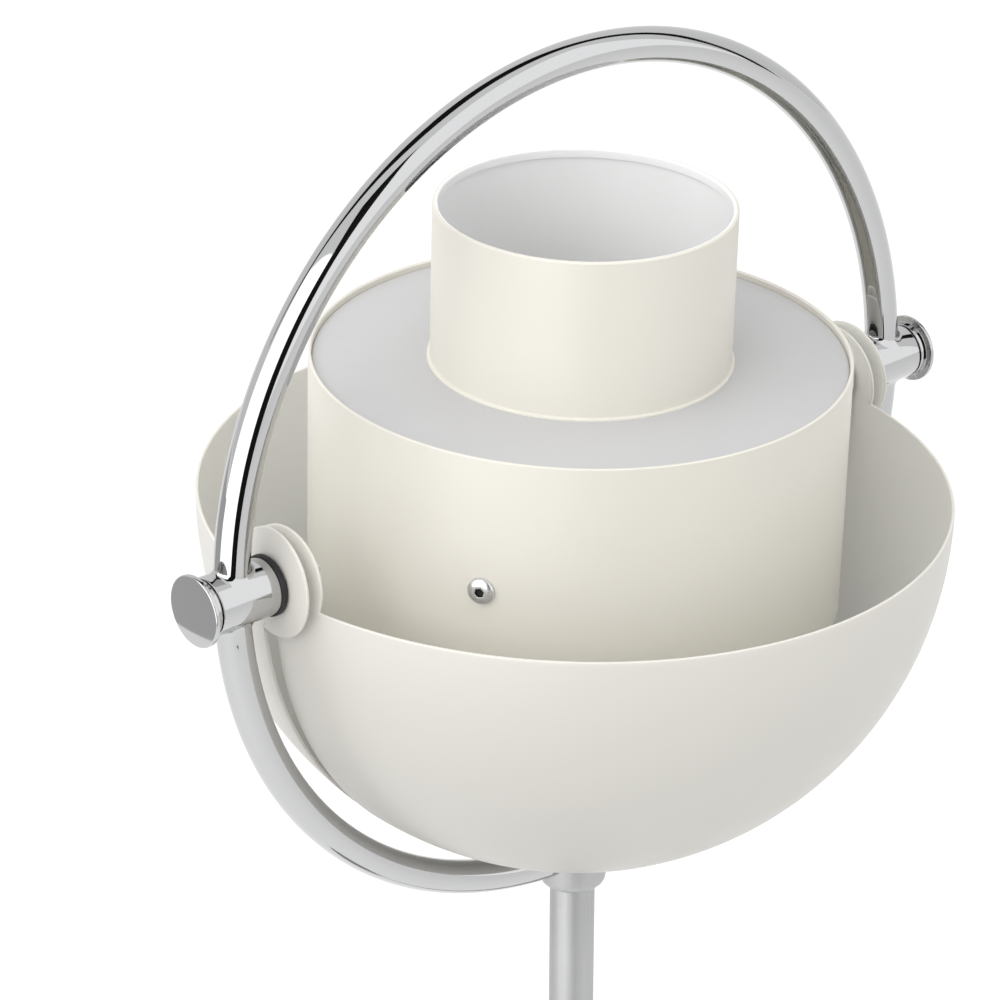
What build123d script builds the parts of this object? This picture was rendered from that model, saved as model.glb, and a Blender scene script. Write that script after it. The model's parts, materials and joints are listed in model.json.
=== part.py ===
"""Floor lamp: a round base and straight stem carry a tubular hoop.

The hoop holds a lamp head of nested cylinders on a horizontal axle, and two
quarter-sphere shells turn on the same axle.  Millimetres, +Z up, origin on the
floor under the stem.  X is the axle's direction, -Y is the front.
"""
from build123d import *
import os

# ---------------------------------------------------------------- overall
HEAD_HEIGHT = 1320.0        # axle above the floor
HEAD_LEAN = 1.8             # the head rests turned this far forward on its axle, degrees

# ---------------------------------------------------------------- base and stem
BASE_RADIUS = 135.0
BASE_HEIGHT = 20.0
BASE_EDGE_ROUND = 7.0
COVER_WALL = 1.5
WEIGHT_RADIUS = 130.0
WEIGHT_BOTTOM = 3.0
PAD_OUTER = 127.0
PAD_INNER = 25.0
STEM_RADIUS = 8.3
STEM_WALL = 1.6
STEM_SPLIT = 600.0          # height of the joint between the two stem tubes
STEM_FOOT = 10.0            # where the stem's shoulder rests in the weight
SPIGOT_RADIUS = STEM_RADIUS - STEM_WALL
NUT_FLAT_RATIO = 1.732      # across flats of a hexagon over its corner radius
GLAND_HEIGHT = 9.0
GLAND_RADIUS = 5.5
GLAND_BORE = 3.6
GLAND_LIP = 1.0             # how far the gland's lip stands out behind the wall
GLAND_LIP_DEPTH = 2.5
GLAND_DEPTH = 7.0
GLAND_SEAT_GAP = 0.7
GLAND_POCKET = (22.0, 22.0, 30.0)
LEAD_CHANNEL_WIDTH = 9.0
LEAD_CHANNEL_HEIGHT = 10.0
COVER_SKIRT = 1.5           # the cover's wall reaches this far below the weight
NUT_POCKET_RADIUS = 18.0
STEM_NUT_ACROSS = 24.0
STEM_WASHER_RADIUS = 15.0
STEM_WASHER_THICKNESS = 1.8
STEM_BOTTOM = 4.0
FOOT_COLLAR_PROFILE = ((15.5, 0.0), (15.5, 2.5), (12.0, 6.0), (10.2, 13.0))     # radius, rise
COUPLER_DEPTH = 32.0        # down into the lower tube
COUPLER_RISE = 34.0         # up into the upper tube
COUPLER_RING = 2.0
COUPLER_RING_STEP = 0.4
STEM_END = 12.0             # thick-walled top of the upper tube
STEM_SPIGOT = 5.5           # threaded spigot up into the hoop's collar

# ---------------------------------------------------------------- hoop
HOOP_RADIUS = 153.8         # centreline of the tube
TUBE_RADIUS = 6.2
TUBE_WALL = 1.2
COLLAR_RADIUS = 12.3
COLLAR_TOP = -148.2         # below the axle
COLLAR_BOTTOM = -166.2
LEAD_HOLE = 3.5             # radius of the way for the leads
COLLAR_TOP_ROUND = 0.8
COLLAR_SOCKET = 5.6         # depth of the hole for the stem's spigot

# ---------------------------------------------------------------- pivot, along X
BOSS_RADIUS = 10.2
BOSS_INNER_END = 140.6
BOSS_OUTER_END = 164.6
BOSS_POCKET_RADIUS = 8.6
BOSS_POCKET_FLOOR = 158.4
CAP_FACE = 170.1
CAP_FLANGE_RADIUS = 12.6
CAP_FLANGE = 2.1
CAP_NECK_END = 165.3
CAP_SPIGOT_END = 163.8
CAP_DOME = 0.5
AXLE_RADIUS = 5.0
AXLE_BORE = 3.3
AXLE_OUTER_END = 163.2
AXLE_INNER_END = 121.0      # stub axles: they stop short of the drum
RUNNING_CLEARANCE = 0.05
AXLE_NUT_ACROSS = 13.0
AXLE_NUT_GAP = 0.3
EDGE_BREAK = 0.3            # small chamfers of the bosses and caps
EAR_RING_RADIUS = 8.5
EAR_SPACER_ENDS = (133.55, 135.5)
EAR_WASHER_ENDS = (129.4, 130.8)
LOCK_NUT_ACROSS = 15.0
LOCK_NUT_THICKNESS = 5.0
WASHER_INNER_FACE = 138.35
WASHER_RADIUS = 10.8

# ---------------------------------------------------------------- shells
SHELL_RADIUS = 138.0
SHELL_WALL = 1.2
FRONT_HALF_WIDTH = 133.2    # the front shell's ears sit inside the rear shell's
REAR_HALF_WIDTH = 138.0
FRONT_CENTRE = (3.9, -6.1)  # y, z of the sphere's centre, from the axle
REAR_CENTRE = (-6.5, -4.0)
FRONT_RIM_SLOPE = -0.9      # degrees above horizontal
REAR_RIM_SLOPE = 2.5
EDGE_SLOPE = 1.3            # lower edges lean this far towards the back
EDGE_GAP = 0.8
FRONT_EAR_RADIUS = 18.8
REAR_EAR_RADIUS = 19.3
BUSH_RADIUS = 6.5

# ---------------------------------------------------------------- head
DRUM_RADIUS = 94.7
DRUM_HALF_HEIGHT = 46.3
DRUM_WALL = 1.2
DRUM_EDGE_ROUND = 0.45
PLATE_FACE = 44.1           # outer face of the ring plates
PLATE_THICKNESS = 1.2
PLATE_FLANGE = 7.0          # depth of the plate's turned-in edge
CYLINDER_RADIUS = 52.5
CYLINDER_WALL = 1.2
CYLINDER_TOP = 101.5
CYLINDER_FOOT = 38.0
HEM_DEPTH = 3.6             # turned-in hem at the open end
HEM_WALL = 1.9
HEM_ROUND = 0.55
WELD_OVERLAP = 0.1          # hem and lip sink this far into the wall they are joined to
LIP_RADIUS = 53.5
LIP_THICKNESS = 0.8
SCREW_ANGLE = 28.2          # the front screws, round the drum from the axle line
SCREW_DROP = 2.0            # below the axle
SCREW_HEAD_RADIUS = 4.75
SCREW_HEAD_HEIGHT = 2.6
SCREW_HEX = 3.0
SCREW_SHANK = 2.5
SCREW_LENGTH = 7.0
SCREW_FLAT = 0.25           # ground off the top of the button head
SCREW_HEX_FLOOR = 1.0
SPIDER_WALL = 2.0           # three-armed carrier of the lampholders
SPIDER_TOP = -12.0
SPIDER_WIDTH = 14.0
SPIDER_HUB = 22.0
TAB_FACE = 93.1             # outer face of the spider's upturned tabs
TAB_WALL = 1.6
TAB_TOP = 8.0
BLOCK_PLACE = 45.0          # terminal block, out along the rear arm
HOLDER_RADIUS = 19.5
HOLDER_HEIGHT = 40.0
HOLDER_BORE = 14.2
HOLDER_PROFILE = ((9.0, 0.0), (9.0, 5.0), (13.0, 7.0))      # radius, rise of the neck
HOLDER_SHOULDER = 12.0
HOLDER_FLOOR = 3.0
HOLDER_ROUND = 1.2
LEAD_WAY = 3.0
SOCKET_FLOOR = 15.0
SOCKET_TOP_GAP = 4.0
SOCKET_DISC = 1.2
THREAD_PITCH = 3.6
THREAD_DEPTH = 0.55
THREAD_TURNS = 5
SOCKET_WALL = 0.6
NIPPLE_RADIUS = 5.0
NIPPLE_HALF_LENGTH = 9.0
NIPPLE_BORE = 3.4
NIPPLE_NUT_ACROSS = 14.0
NIPPLE_NUT_THICKNESS = 3.0
SPIDER_NUT_ACROSS = 8.0
SPIDER_NUT_THICKNESS = 4.0
BLOCK_HEIGHT = 11.0
BLOCK_SCREW_RADIUS = 1.5
BLOCK_SCREW_HEAD = 2.8
BLOCK_SCREW_HEAD_HEIGHT = 2.0
BLOCK_SLOT = (0.8, 8.0, 1.6)
BLOCK_SIZE = (16.0, 20.0)
BLOCK_ROUND = 1.5
WIRE_WAY_RADIUS = 1.8
WIRE_WELL_RADIUS = 1.6
WIRE_WELL_DEPTH = 3.0
WIRE_SPACING = 9.0

DRUM_BORE = DRUM_RADIUS - DRUM_WALL

# ---------------------------------------------------------------- cradle under the drum
ARM_WALL = 2.0
ARM_WIDTH = 16.0
ARM_EYE_RADIUS = 10.0
ARM_EYE_FACE = 129.4        # outer face of the eye round the stub axle
ARM_BEND_DROP = -10.0
ARM_ELBOW = 110.0
ARM_LEG = -48.6             # middle of the leg under the bottom plate
ARM_END = 62.0
ARM_BEND_RADIUS = 8.0
ARM_SCREWS = (70.0, 84.0)
ARM_SCREW_RADIUS = 2.0
ARM_SPACER_RADIUS = 5.0
ARM_NUT_TOP = -39.7
ARM_NUT_ACROSS = 7.0
ARM_HEAD_RADIUS = 3.8
ARM_HEAD_HEIGHT = 2.4
ARM_RECESS_RADIUS = 1.3
ARM_RECESS_DEPTH = 1.2
GROMMET_PLACE = (77.0, 16.0)
GROMMET_RADIUS = 4.0
GROMMET_LIP = 1.5
GROMMET_LIP_THICKNESS = 1.4
GROMMET_WALL = 1.4
SIDES = ("left", "right")


# ---------------------------------------------------------------- helpers
def cylinder_z(radius, low, high):
    """Upright cylinder on the Z axis between two heights."""
    return Pos(0, 0, (low + high) / 2) * Cylinder(radius, high - low)


def tube_z(outer, inner, low, high):
    return cylinder_z(outer, low, high) - cylinder_z(inner, low - 1, high + 1)


def cylinder_x(radius, start, end):
    """Cylinder on the axle line between two distances from the middle."""
    return Pos((start + end) / 2, 0, 0) * Rot(0, 90, 0) * Cylinder(radius, end - start)


def tube_x(outer, inner, start, end):
    return cylinder_x(outer, start, end) - cylinder_x(inner, start - 1, end + 1)


def hexagon_x(across_flats, bore, start, end):
    """Hexagon nut on the axle line."""
    outline = RegularPolygon(across_flats / NUT_FLAT_RATIO, 6)
    blank = Pos(start, 0, 0) * Rot(0, 90, 0) * extrude(outline, end - start)
    return blank - cylinder_x(bore, start - 1, end + 1)


def hexagon_z(across_flats, bore, low, high):
    """Hexagon nut on the Z axis."""
    blank = Pos(0, 0, low) * extrude(RegularPolygon(across_flats / NUT_FLAT_RATIO, 6), high - low)
    return blank - cylinder_z(bore, low - 1, high + 1)


def turned_z(*points):
    """Solid turned about Z from (radius, height) points."""
    profile = make_face(Polyline(*[(r, 0, z) for r, z in points], close=True))
    return revolve(profile, Axis.Z)


def on_side(side, solid):
    """The right-hand piece as made, or its mirror image for the left."""
    return solid if side == "right" else mirror(solid, about=Plane.YZ)


def both_sides(solid):
    return Compound([solid, mirror(solid, about=Plane.YZ)])


def at_axle(solid):
    return Pos(0, 0, HEAD_HEIGHT) * solid


def on_head(solid):
    """Place a piece of the head, which rests leaning forward on its axle."""
    return at_axle(Rot(HEAD_LEAN, 0, 0) * solid)


def lower_half(solid):
    return Rot(180, 0, 0) * solid


# ---------------------------------------------------------------- base and stem
def base_pad():
    return tube_z(PAD_OUTER, PAD_INNER, 0, WEIGHT_BOTTOM)


def base_weight():
    top = BASE_HEIGHT - COVER_WALL
    disc = cylinder_z(WEIGHT_RADIUS, WEIGHT_BOTTOM, top)
    disc = fillet(disc.edges().group_by(Axis.Z)[-1], BASE_EDGE_ROUND - COVER_WALL)
    nut_pocket = cylinder_z(NUT_POCKET_RADIUS, WEIGHT_BOTTOM - 1, STEM_FOOT)
    channel = Box(LEAD_CHANNEL_WIDTH, WEIGHT_RADIUS - 12, LEAD_CHANNEL_HEIGHT)
    lead_channel = Pos(0, WEIGHT_RADIUS / 2 + 8, GLAND_HEIGHT - 1) * channel
    gland_pocket = Pos(0, WEIGHT_RADIUS, GLAND_HEIGHT) * Box(*GLAND_POCKET)
    return disc - nut_pocket - cylinder_z(SPIGOT_RADIUS, 0, top + 1) - lead_channel - gland_pocket


def base_cover():
    outer = cylinder_z(BASE_RADIUS, WEIGHT_BOTTOM - COVER_SKIRT, BASE_HEIGHT)
    outer = fillet(outer.edges().group_by(Axis.Z)[-1], BASE_EDGE_ROUND)
    inner = cylinder_z(BASE_RADIUS - COVER_WALL, 0, BASE_HEIGHT - COVER_WALL)
    inner = fillet(inner.edges().group_by(Axis.Z)[-1], BASE_EDGE_ROUND - COVER_WALL)
    gland_hole = Pos(0, BASE_RADIUS, GLAND_HEIGHT) * Rot(90, 0, 0) * Cylinder(GLAND_RADIUS, 20)
    return outer - inner - cylinder_z(SPIGOT_RADIUS, 0, BASE_HEIGHT + 1) - gland_hole


def cord_gland():
    """Bush for the mains cord, flush outside, with a lip behind the cover's wall."""
    def along_y(radius, start, end):
        return Pos(0, (start + end) / 2, GLAND_HEIGHT) * Rot(90, 0, 0) * Cylinder(radius, end - start)
    wall_back = BASE_RADIUS - COVER_WALL - GLAND_SEAT_GAP
    body = along_y(GLAND_RADIUS, wall_back - GLAND_DEPTH, BASE_RADIUS + 5)
    body = body & cylinder_z(BASE_RADIUS, 0, BASE_HEIGHT)
    lip = along_y(GLAND_RADIUS + GLAND_LIP, wall_back - GLAND_LIP_DEPTH, wall_back)
    return body + lip - along_y(GLAND_BORE, BASE_RADIUS - 40, BASE_RADIUS + 10)


def foot_collar():
    outside = [(radius, BASE_HEIGHT + rise) for radius, rise in FOOT_COLLAR_PROFILE]
    top = outside[-1][1]
    return turned_z((STEM_RADIUS, BASE_HEIGHT), *outside, (STEM_RADIUS, top))


def stem_washer():
    return tube_z(STEM_WASHER_RADIUS, SPIGOT_RADIUS, STEM_FOOT - STEM_WASHER_THICKNESS, STEM_FOOT)


def stem_nut():
    return hexagon_z(STEM_NUT_ACROSS, SPIGOT_RADIUS, WEIGHT_BOTTOM, STEM_FOOT - STEM_WASHER_THICKNESS)


def stem_lower():
    """Lower tube: stands on the cover, with a threaded end down through the weight."""
    tube = cylinder_z(STEM_RADIUS, BASE_HEIGHT, STEM_SPLIT)
    tube = tube + cylinder_z(SPIGOT_RADIUS, STEM_BOTTOM, BASE_HEIGHT)
    socket = cylinder_z(SPIGOT_RADIUS, STEM_SPLIT - COUPLER_DEPTH, STEM_SPLIT + 1)
    return tube - cylinder_z(SPIGOT_RADIUS - STEM_WALL, 0, STEM_SPLIT) - socket


def stem_coupler():
    """Sleeve inside the joint, with a shoulder that shows as a fine ring."""
    sleeve = cylinder_z(SPIGOT_RADIUS, STEM_SPLIT - COUPLER_DEPTH, STEM_SPLIT + COUPLER_RISE)
    shoulder = cylinder_z(STEM_RADIUS - COUPLER_RING_STEP, STEM_SPLIT, STEM_SPLIT + COUPLER_RING)
    return sleeve + shoulder - cylinder_z(SPIGOT_RADIUS - STEM_WALL, 0, HEAD_HEIGHT)


def stem_upper():
    top = HEAD_HEIGHT + COLLAR_BOTTOM
    bore = SPIGOT_RADIUS - STEM_WALL
    tube = tube_z(STEM_RADIUS, SPIGOT_RADIUS, STEM_SPLIT + COUPLER_RING, top - STEM_END)
    end = tube_z(STEM_RADIUS, bore, top - STEM_END, top)
    return tube + end + tube_z(SPIGOT_RADIUS, bore, top - STEM_END, top + STEM_SPIGOT)


# ---------------------------------------------------------------- hoop
def hoop_ring(section_radius):
    return Rot(90, 0, 0) * Torus(HOOP_RADIUS, section_radius)


def hoop_tube():
    boss_space = cylinder_x(BOSS_RADIUS, -2 * HOOP_RADIUS, 2 * HOOP_RADIUS)
    return hoop_ring(TUBE_RADIUS) - hoop_ring(TUBE_RADIUS - TUBE_WALL) - boss_space


def hoop_upper():
    span = 3 * HOOP_RADIUS
    return at_axle(hoop_tube() & Pos(0, 0, span / 2) * Box(span, span, span))


def hoop_lower(side):
    """Quarter of the hoop, from the boss to just short of the collar's middle."""
    span = 3 * HOOP_RADIUS
    inner_end = 4.0
    quarter = Pos(inner_end + span / 2, 0, -span / 2) * Box(span, span, span)
    return at_axle(on_side(side, hoop_tube() & quarter))


def hoop_collar():
    cup = cylinder_z(COLLAR_RADIUS, COLLAR_BOTTOM, COLLAR_TOP)
    cup = fillet(cup.edges().group_by(Axis.Z)[0], COLLAR_RADIUS - STEM_RADIUS)
    cup = fillet(cup.edges().group_by(Axis.Z)[-1], COLLAR_TOP_ROUND)
    socket = cylinder_z(SPIGOT_RADIUS, COLLAR_BOTTOM - 1, COLLAR_BOTTOM + COLLAR_SOCKET)
    lead_way = cylinder_z(LEAD_HOLE, COLLAR_BOTTOM, -HOOP_RADIUS)
    return at_axle(cup - hoop_ring(TUBE_RADIUS) - socket - lead_way)


def pivot_boss(side):
    barrel = cylinder_x(BOSS_RADIUS, BOSS_INNER_END, BOSS_OUTER_END)
    barrel = chamfer(barrel.edges().filter_by(GeomType.CIRCLE), EDGE_BREAK)
    bore = cylinder_x(AXLE_RADIUS + RUNNING_CLEARANCE, 0, BOSS_OUTER_END)
    pocket = cylinder_x(BOSS_POCKET_RADIUS, BOSS_POCKET_FLOOR, BOSS_OUTER_END + 1)
    lead_way = Pos(HOOP_RADIUS, 0, 0) * cylinder_z(LEAD_HOLE, -BOSS_RADIUS - 1, 0)
    return at_axle(on_side(side, barrel - bore - pocket - lead_way))


def end_cap(side):
    """Flanged cap with a slightly domed face; its spigot fills the boss's pocket."""
    flange = cylinder_x(CAP_FLANGE_RADIUS, CAP_FACE - CAP_FLANGE, CAP_FACE)
    dome_radius = CAP_FLANGE_RADIUS ** 2 / (2 * CAP_DOME)
    flange = flange & Pos(CAP_FACE - dome_radius, 0, 0) * Sphere(dome_radius)
    flange = chamfer(flange.edges().filter_by(GeomType.CIRCLE).group_by(Axis.X)[0], EDGE_BREAK)
    neck = cylinder_x(BOSS_RADIUS, CAP_NECK_END, CAP_FACE - CAP_FLANGE)
    spigot = cylinder_x(BOSS_POCKET_RADIUS, CAP_SPIGOT_END, CAP_NECK_END)
    return at_axle(on_side(side, flange + neck + spigot))


def friction_washer(side):
    bore = AXLE_RADIUS + RUNNING_CLEARANCE
    return at_axle(on_side(side, tube_x(WASHER_RADIUS, bore, WASHER_INNER_FACE, BOSS_INNER_END)))


# ---------------------------------------------------------------- pieces on the axle
def axle(side):
    tube = tube_x(AXLE_RADIUS, AXLE_BORE, AXLE_INNER_END, AXLE_OUTER_END)
    return on_head(on_side(side, tube))


def axle_end_nuts():
    nut = hexagon_x(AXLE_NUT_ACROSS, AXLE_RADIUS, BOSS_POCKET_FLOOR + AXLE_NUT_GAP, AXLE_OUTER_END)
    return on_head(both_sides(nut))


def ear_spacers():
    """Rings that keep the front shell's ears off the rear shell's."""
    return on_head(both_sides(tube_x(EAR_RING_RADIUS, AXLE_RADIUS, *EAR_SPACER_ENDS)))


def ear_washers():
    return on_head(both_sides(tube_x(EAR_RING_RADIUS, AXLE_RADIUS, *EAR_WASHER_ENDS)))


def ear_lock_nuts():
    inner_face = ARM_EYE_FACE - ARM_WALL
    nut = hexagon_x(LOCK_NUT_ACROSS, AXLE_RADIUS, inner_face - LOCK_NUT_THICKNESS, inner_face)
    return on_head(both_sides(nut))


# ---------------------------------------------------------------- head
def button_screw():
    """Socket button-head screw, head up, with its bearing face at z = 0."""
    dome_centre = (SCREW_HEAD_HEIGHT ** 2 - SCREW_HEAD_RADIUS ** 2) / (2 * SCREW_HEAD_HEIGHT)
    dome_radius = SCREW_HEAD_HEIGHT - dome_centre
    blank = cylinder_z(SCREW_HEAD_RADIUS, 0, SCREW_HEAD_HEIGHT - SCREW_FLAT)
    head = Pos(0, 0, dome_centre) * Sphere(dome_radius) & blank
    socket = extrude(RegularPolygon(SCREW_HEX / NUT_FLAT_RATIO, 6), SCREW_HEAD_HEIGHT)
    return head - Pos(0, 0, SCREW_HEX_FLOOR) * socket + cylinder_z(SCREW_SHANK, -SCREW_LENGTH, 0)


def spider_angles():
    """Round the drum: one arm either side of the front, and one at the back."""
    return (180 + SCREW_ANGLE, -SCREW_ANGLE, 90)


def screw_places():
    """Where the spider's screws stand, radial to the drum."""
    for angle in spider_angles():
        yield Rot(0, 0, angle) * Pos(DRUM_RADIUS, 0, -SCREW_DROP) * Rot(0, 90, 0)


def screw_holes():
    return Compound([place * Cylinder(SCREW_SHANK, 30) for place in screw_places()])


def drum():
    wall = tube_z(DRUM_RADIUS, DRUM_BORE, -DRUM_HALF_HEIGHT, DRUM_HALF_HEIGHT)
    rims = wall.edges().filter_by(GeomType.CIRCLE)
    return on_head(fillet(rims, DRUM_EDGE_ROUND) - screw_holes())


def ring_plate():
    low = PLATE_FACE - PLATE_THICKNESS
    plate = tube_z(DRUM_BORE, CYLINDER_RADIUS, low, PLATE_FACE)
    flange = tube_z(DRUM_BORE, DRUM_BORE - PLATE_THICKNESS, low - PLATE_FLANGE, low)
    return plate + flange


def bottom_plate():
    """The ring plate upside down, drilled for the cradle's screws and the leads."""
    plate = lower_half(ring_plate())
    drill = cylinder_z(ARM_SCREW_RADIUS, -PLATE_FACE - 1, -PLATE_FACE + PLATE_THICKNESS + 1)
    for spot in arm_screw_spots():
        plate = plate - both_sides(spot * drill)
    lead_hole = cylinder_z(GROMMET_RADIUS, -PLATE_FACE - 1, -PLATE_FACE + PLATE_THICKNESS + 1)
    return on_head(plate - Pos(*GROMMET_PLACE, 0) * lead_hole)


def small_cylinder():
    """Open cylinder with a turned-in hem, standing through the plate on a fine lip."""
    wall = tube_z(CYLINDER_RADIUS, CYLINDER_RADIUS - CYLINDER_WALL, CYLINDER_FOOT, CYLINDER_TOP)
    inside_wall = CYLINDER_RADIUS - WELD_OVERLAP
    hem = tube_z(inside_wall, CYLINDER_RADIUS - HEM_WALL, CYLINDER_TOP - HEM_DEPTH, CYLINDER_TOP)
    lip = tube_z(LIP_RADIUS, inside_wall, PLATE_FACE, PLATE_FACE + LIP_THICKNESS)
    body = wall + hem + lip
    top_edges = body.edges().filter_by(GeomType.CIRCLE).group_by(Axis.Z)[-1]
    return fillet(top_edges, HEM_ROUND)


def spider_screws():
    return on_head(Compound([place * button_screw() for place in screw_places()]))


def lamp_spider():
    """Carrier of the lampholders: hub and three arms with tabs turned up to the drum's wall."""
    low = SPIDER_TOP - SPIDER_WALL
    hub = cylinder_z(SPIDER_HUB, low, SPIDER_TOP)
    arm = Pos(TAB_FACE / 2, 0, SPIDER_TOP - SPIDER_WALL / 2) * Box(TAB_FACE, SPIDER_WIDTH, SPIDER_WALL)
    tab = Box(TAB_WALL, SPIDER_WIDTH, TAB_TOP - low)
    tab = Pos(TAB_FACE - TAB_WALL / 2, 0, (TAB_TOP + low) / 2) * tab
    spider = hub
    for angle in spider_angles():
        spider = spider + Rot(0, 0, angle) * (arm + tab)
    nipple_hole = cylinder_z(NIPPLE_RADIUS, low - 1, SPIDER_TOP + 1)
    block_hole = Pos(0, BLOCK_PLACE, 0) * cylinder_z(BLOCK_SCREW_RADIUS, low - 1, SPIDER_TOP + 1)
    return on_head(spider - screw_holes() - nipple_hole - block_hole)


def spider_nuts():
    inner_face = TAB_FACE - TAB_WALL
    nut = hexagon_x(SPIDER_NUT_ACROSS, SCREW_SHANK, inner_face - SPIDER_NUT_THICKNESS, inner_face)
    places = [Rot(0, 0, angle) * Pos(0, 0, -SCREW_DROP) for angle in spider_angles()]
    return on_head(Compound([place * nut for place in places]))


def holder_nipple():
    middle = SPIDER_TOP - SPIDER_WALL / 2
    low, high = middle - NIPPLE_HALF_LENGTH, middle + NIPPLE_HALF_LENGTH
    return on_head(tube_z(NIPPLE_RADIUS, NIPPLE_BORE, low, high))


def nipple_nuts():
    under = SPIDER_TOP - SPIDER_WALL
    upper = hexagon_z(NIPPLE_NUT_ACROSS, NIPPLE_RADIUS, SPIDER_TOP, SPIDER_TOP + NIPPLE_NUT_THICKNESS)
    lower = hexagon_z(NIPPLE_NUT_ACROSS, NIPPLE_RADIUS, under - NIPPLE_NUT_THICKNESS, under)
    return on_head(Compound([upper, lower]))


def holder_body():
    """Lampholder housing: narrow threaded neck, sloping shoulder, straight skirt."""
    outside = turned_z((0, 0), *HOLDER_PROFILE, (HOLDER_RADIUS, HOLDER_SHOULDER),
                       (HOLDER_RADIUS, HOLDER_HEIGHT), (0, HOLDER_HEIGHT))
    outside = fillet(outside.edges().filter_by(GeomType.CIRCLE).group_by(Axis.Z)[-1], HOLDER_ROUND)
    well_floor = HOLDER_SHOULDER + HOLDER_FLOOR
    well = cylinder_z(HOLDER_BORE, well_floor, HOLDER_HEIGHT + 1)
    thread = cylinder_z(NIPPLE_RADIUS, -1, HOLDER_SHOULDER / 2)
    return outside - well - thread - cylinder_z(LEAD_WAY, HOLDER_PROFILE[1][1], well_floor + 1)


def socket_shell():
    """Threaded metal shell with the centre contact's disc at its foot."""
    top = HOLDER_HEIGHT - SOCKET_TOP_GAP
    wall = tube_z(HOLDER_BORE, HOLDER_BORE - SOCKET_WALL, SOCKET_FLOOR, top)
    ridge_zone = cylinder_z(HOLDER_BORE - WELD_OVERLAP, SOCKET_FLOOR, top)
    ridge = Torus(HOLDER_BORE - SOCKET_WALL, THREAD_DEPTH)
    for turn in range(THREAD_TURNS):
        place = Pos(0, 0, SOCKET_FLOOR + 5 + THREAD_PITCH * turn)
        wall = wall + (place * ridge & ridge_zone)
    return wall + tube_z(HOLDER_BORE, LEAD_WAY, SOCKET_FLOOR, SOCKET_FLOOR + SOCKET_DISC)


def above_spider(solid):
    return on_head(Pos(0, 0, SPIDER_TOP + NIPPLE_NUT_THICKNESS) * solid)


def below_spider(solid):
    seat = SPIDER_TOP - SPIDER_WALL - NIPPLE_NUT_THICKNESS
    return on_head(Pos(0, 0, seat) * lower_half(solid))


def on_rear_arm(solid):
    return on_head(Pos(0, BLOCK_PLACE, SPIDER_TOP) * solid)


def terminal_block():
    """Two-way block with its wire ways along the arm and a clamping well over each."""
    block = Pos(0, 0, BLOCK_HEIGHT / 2) * Box(*BLOCK_SIZE, BLOCK_HEIGHT)
    block = fillet(block.edges().filter_by(Axis.Z), BLOCK_ROUND)
    wire_way = Cylinder(WIRE_WAY_RADIUS, 2 * BLOCK_SIZE[1])
    wire_way = Pos(0, 0, (BLOCK_HEIGHT + 1) / 2) * Rot(90, 0, 0) * wire_way
    well = Pos(0, 0, BLOCK_HEIGHT - 1) * Cylinder(WIRE_WELL_RADIUS, 2 * WIRE_WELL_DEPTH)
    for x in (-WIRE_SPACING / 2, WIRE_SPACING / 2):
        block = block - Pos(x, 0, 0) * (wire_way + well)
    return on_rear_arm(block - Cylinder(BLOCK_SCREW_RADIUS, 40))


def block_screw():
    shank = cylinder_z(BLOCK_SCREW_RADIUS, -SPIDER_WALL - 3, BLOCK_HEIGHT)
    top = BLOCK_HEIGHT + BLOCK_SCREW_HEAD_HEIGHT
    head = cylinder_z(BLOCK_SCREW_HEAD, BLOCK_HEIGHT, top)
    slot = Pos(0, 0, top) * Box(*BLOCK_SLOT)
    return on_rear_arm(shank + head - slot)


# ---------------------------------------------------------------- cradle
def arm_screw_spots():
    return [Pos(x, 0, 0) for x in ARM_SCREWS]


def cradle_arm(side):
    """Bent strap from an eye on the stub axle, inside the shells, to a leg under the drum."""
    line_x = ARM_EYE_FACE - ARM_WALL / 2
    path = FilletPolyline((line_x, 0, 0), (line_x, 0, ARM_BEND_DROP), (ARM_ELBOW, 0, ARM_LEG),
                          (ARM_END, 0, ARM_LEG), radius=ARM_BEND_RADIUS)
    start = Plane(origin=(line_x, 0, 0), x_dir=(0, 1, 0), z_dir=(0, 0, -1))
    strap = sweep(start * Rectangle(ARM_WIDTH, ARM_WALL), path)
    eye = cylinder_x(ARM_EYE_RADIUS, ARM_EYE_FACE - ARM_WALL, ARM_EYE_FACE)
    arm = strap + eye - cylinder_x(AXLE_RADIUS, ARM_ELBOW, ARM_EYE_FACE + 1)
    for spot in arm_screw_spots():
        arm = arm - spot * cylinder_z(ARM_SCREW_RADIUS, ARM_LEG - 5, ARM_LEG + 5)
    return on_head(on_side(side, arm))


def arm_fittings(piece):
    """The same small piece at every screw of both arms."""
    return on_head(both_sides(Compound([spot * piece for spot in arm_screw_spots()])))


def arm_spacers():
    ring = tube_z(ARM_SPACER_RADIUS, ARM_SCREW_RADIUS, ARM_LEG + ARM_WALL / 2, -PLATE_FACE)
    return arm_fittings(ring)


def arm_screws():
    under = ARM_LEG - ARM_WALL / 2
    head = cylinder_z(ARM_HEAD_RADIUS, under - ARM_HEAD_HEIGHT, under)
    recess = cylinder_z(ARM_RECESS_RADIUS, under - ARM_HEAD_HEIGHT - 1, under - ARM_RECESS_DEPTH)
    return arm_fittings(head - recess + cylinder_z(ARM_SCREW_RADIUS, under, ARM_NUT_TOP))


def arm_nuts():
    nut = hexagon_z(ARM_NUT_ACROSS, ARM_SCREW_RADIUS, PLATE_THICKNESS - PLATE_FACE, ARM_NUT_TOP)
    return arm_fittings(nut)


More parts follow.
